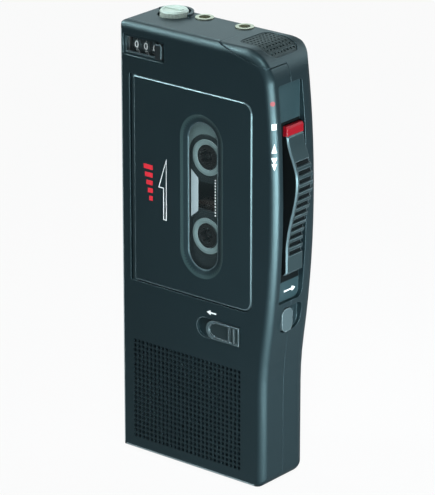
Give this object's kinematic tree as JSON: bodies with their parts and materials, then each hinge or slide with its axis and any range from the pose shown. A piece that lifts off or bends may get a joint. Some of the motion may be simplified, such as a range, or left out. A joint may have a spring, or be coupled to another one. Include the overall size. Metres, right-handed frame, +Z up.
{
  "type": "microcassette recorder",
  "caption": "Slim dark grey pocket microcassette recorder with a windowed cassette door, speaker grille, digit counter and a ribbed control slider on its swollen right side.",
  "frame": {"origin": "centre of the flat foot that the recorder stands on", "axes": "+X to the viewer's right along the width, +Y from the front face to the back, +Z up along the length"},
  "size_m": [0.0634, 0.0225, 0.142],
  "materials": {
    "shell_front": "dark blue-grey moulded plastic, fine satin spark finish",
    "shell_rear": "dark blue-grey moulded plastic, satin",
    "door": "dark satin painted plastic with a bright bevelled edge",
    "clear": "clear smoked plastic",
    "slider": "grey plastic with black rib pads",
    "track": "metallic grey inlay",
    "red": "red plastic",
    "knob_grey": "light grey plastic",
    "knob_dark": "dark plastic with a bright outline",
    "dial": "off-white plastic, knurled",
    "black": "black plastic",
    "grille": "perforated sheet, painted grey",
    "jack_metal": "plated brass",
    "steel": "bare sheet steel",
    "bright_steel": "ground and polished steel",
    "zinc": "turned light alloy",
    "bronze": "sintered bronze",
    "cream": "natural acetal",
    "cassette": "dark smoked plastic",
    "hub_white": "white plastic",
    "tape": "brown magnetic tape",
    "rubber": "black rubber",
    "cone": "black pressed paper",
    "ferrite": "dark ferrite",
    "board": "green laminate",
    "cell": "plain wrapped cell"
  },
  "bodies": {
    "casing": {"front_shell": "shell_front", "rear_shell": "shell_rear", "mic_grille": "grille", "mic_capsule": "zinc", "counter_window": "clear", "counter_frame": "steel", "counter_shaft": "bright_steel", "speaker_frame": "steel", "speaker_cone": "cone", "speaker_magnet": "ferrite", "deck_plate": "steel", "capstan_bearing": "bronze", "motor": "steel", "drive_belt": "rubber", "circuit_board": "board", "board_components": "black", "top_board": "board", "ear_jack": "jack_metal", "mic_jack": "jack_metal", "volume_pot": "black", "battery_cells": "cell", "battery_contacts": "bright_steel", "case_screws": "steel", "track_plate": "track", "hinge_pin": "bright_steel", "cassette_front": "cassette", "cassette_rear": "cassette", "tape_run": "tape"},
    "door": {"cassette_door": "door", "door_window": "clear", "door_spring": "steel"},
    "slider": {"control_slider": "slider", "record_cap": "red"},
    "lock": {"lock_knob": "knob_grey"},
    "eject": {"eject_knob": "knob_dark", "eject_latch": "steel"},
    "volume": {"volume_dial": "dial"},
    "reset": {"reset_button": "black"},
    "lid": {"battery_lid": "shell_rear"},
    "head": {"head_plate": "steel", "play_head": "bright_steel", "erase_head": "black", "pinch_arm": "steel"},
    "pinch": {"pinch_roller": "rubber"},
    "drive": {"flywheel": "zinc", "capstan": "bright_steel"},
    "rotor": {"motor_pulley": "bronze"},
    "idler": {"idler_gear": "cream"},
    "takeup": {"takeup_spindle": "cream", "takeup_hub": "hub_white", "takeup_tape": "tape"},
    "supply": {"supply_spindle": "cream", "supply_hub": "hub_white", "supply_tape": "tape"},
    "guide_upper": {"guide_roller_upper": "cream"},
    "guide_lower": {"guide_roller_lower": "cream"},
    "digit_units": {"digit_wheel_units": "black"},
    "digit_tens": {"digit_wheel_tens": "black"},
    "digit_hundreds": {"digit_wheel_hundreds": "black"}
  },
  "joints": [
    {"name": "door_hinge", "type": "hinge", "parent": "casing", "child": "door", "pos_m": [-0.0231, -0.0099, 0.09], "axis": [0, 0, -1], "range_deg": [0, 80]},
    {"name": "control_slide", "type": "slide", "parent": "casing", "child": "slider", "axis": [0, 0, 1], "range_m": [-0.0075, 0.0075]},
    {"name": "lock_slide", "type": "slide", "parent": "casing", "child": "lock", "axis": [0, 1, 0], "range_m": [0, 0.0042]},
    {"name": "eject_slide", "type": "slide", "parent": "casing", "child": "eject", "axis": [-1, 0, 0], "range_m": [0, 0.0038], "stiffness_N_per_m": 250},
    {"name": "volume_turn", "type": "hinge", "parent": "casing", "child": "volume", "pos_m": [-0.0193, 0.0043, 0.14], "axis": [0, 0, 1], "range_deg": [-150, 150]},
    {"name": "reset_press", "type": "slide", "parent": "casing", "child": "reset", "axis": [0, 1, 0], "range_m": [0, 0.001], "stiffness_N_per_m": 400},
    {"name": "lid_slide", "type": "slide", "parent": "casing", "child": "lid", "axis": [0, 0, -1], "range_m": [0, 0.008]},
    {"name": "head_slide", "type": "slide", "parent": "casing", "child": "head", "axis": [1, 0, 0], "range_m": [0, 0.0016], "stiffness_N_per_m": 300},
    {"name": "pinch_spin", "type": "hinge", "parent": "head", "child": "pinch", "pos_m": [-0.01915, -0.00485, 0.09935], "axis": [0, 1, 0], "continuous": true},
    {"name": "flywheel_spin", "type": "hinge", "parent": "casing", "child": "drive", "pos_m": [-0.0141, 0, 0.09935], "axis": [0, 1, 0], "continuous": true},
    {"name": "motor_spin", "type": "hinge", "parent": "casing", "child": "rotor", "pos_m": [-0.0155, 0.005, 0.0705], "axis": [0, 1, 0], "continuous": true},
    {"name": "idler_spin", "type": "hinge", "parent": "casing", "child": "idler", "pos_m": [-0.00734, 0.0016, 0.10529], "axis": [0, 1, 0], "continuous": true},
    {"name": "takeup_spin", "type": "hinge", "parent": "casing", "child": "takeup", "pos_m": [0.0038, 0, 0.10245], "axis": [0, 1, 0], "continuous": true},
    {"name": "supply_spin", "type": "hinge", "parent": "casing", "child": "supply", "pos_m": [0.0038, 0, 0.07725], "axis": [0, 1, 0], "continuous": true},
    {"name": "guide_upper_spin", "type": "hinge", "parent": "casing", "child": "guide_upper", "pos_m": [-0.01285, -0.00485, 0.11085], "axis": [0, 1, 0], "continuous": true},
    {"name": "guide_lower_spin", "type": "hinge", "parent": "casing", "child": "guide_lower", "pos_m": [-0.01285, -0.00485, 0.06885], "axis": [0, 1, 0], "continuous": true},
    {"name": "units_spin", "type": "hinge", "parent": "casing", "child": "digit_units", "pos_m": [-0.0157, -0.0049, 0.1329], "axis": [1, 0, 0], "continuous": true},
    {"name": "tens_spin", "type": "hinge", "parent": "casing", "child": "digit_tens", "pos_m": [-0.01935, -0.0049, 0.1329], "axis": [1, 0, 0], "continuous": true},
    {"name": "hundreds_spin", "type": "hinge", "parent": "casing", "child": "digit_hundreds", "pos_m": [-0.023, -0.0049, 0.1329], "axis": [1, 0, 0], "continuous": true}
  ],
  "couplings": [
    {"joint": "motor_spin", "follows": "flywheel_spin", "ratio": 5.0976},
    {"joint": "idler_spin", "follows": "flywheel_spin", "ratio": -0.8},
    {"joint": "takeup_spin", "follows": "flywheel_spin", "ratio": 0.61538},
    {"joint": "supply_spin", "follows": "flywheel_spin", "ratio": 0.42961},
    {"joint": "guide_upper_spin", "follows": "flywheel_spin", "ratio": 2.2769},
    {"joint": "guide_lower_spin", "follows": "flywheel_spin", "ratio": 2.2769},
    {"joint": "units_spin", "follows": "flywheel_spin", "ratio": 0.061538},
    {"joint": "tens_spin", "follows": "flywheel_spin", "ratio": 0.006154},
    {"joint": "hundreds_spin", "follows": "flywheel_spin", "ratio": 0.000615}
  ]
}
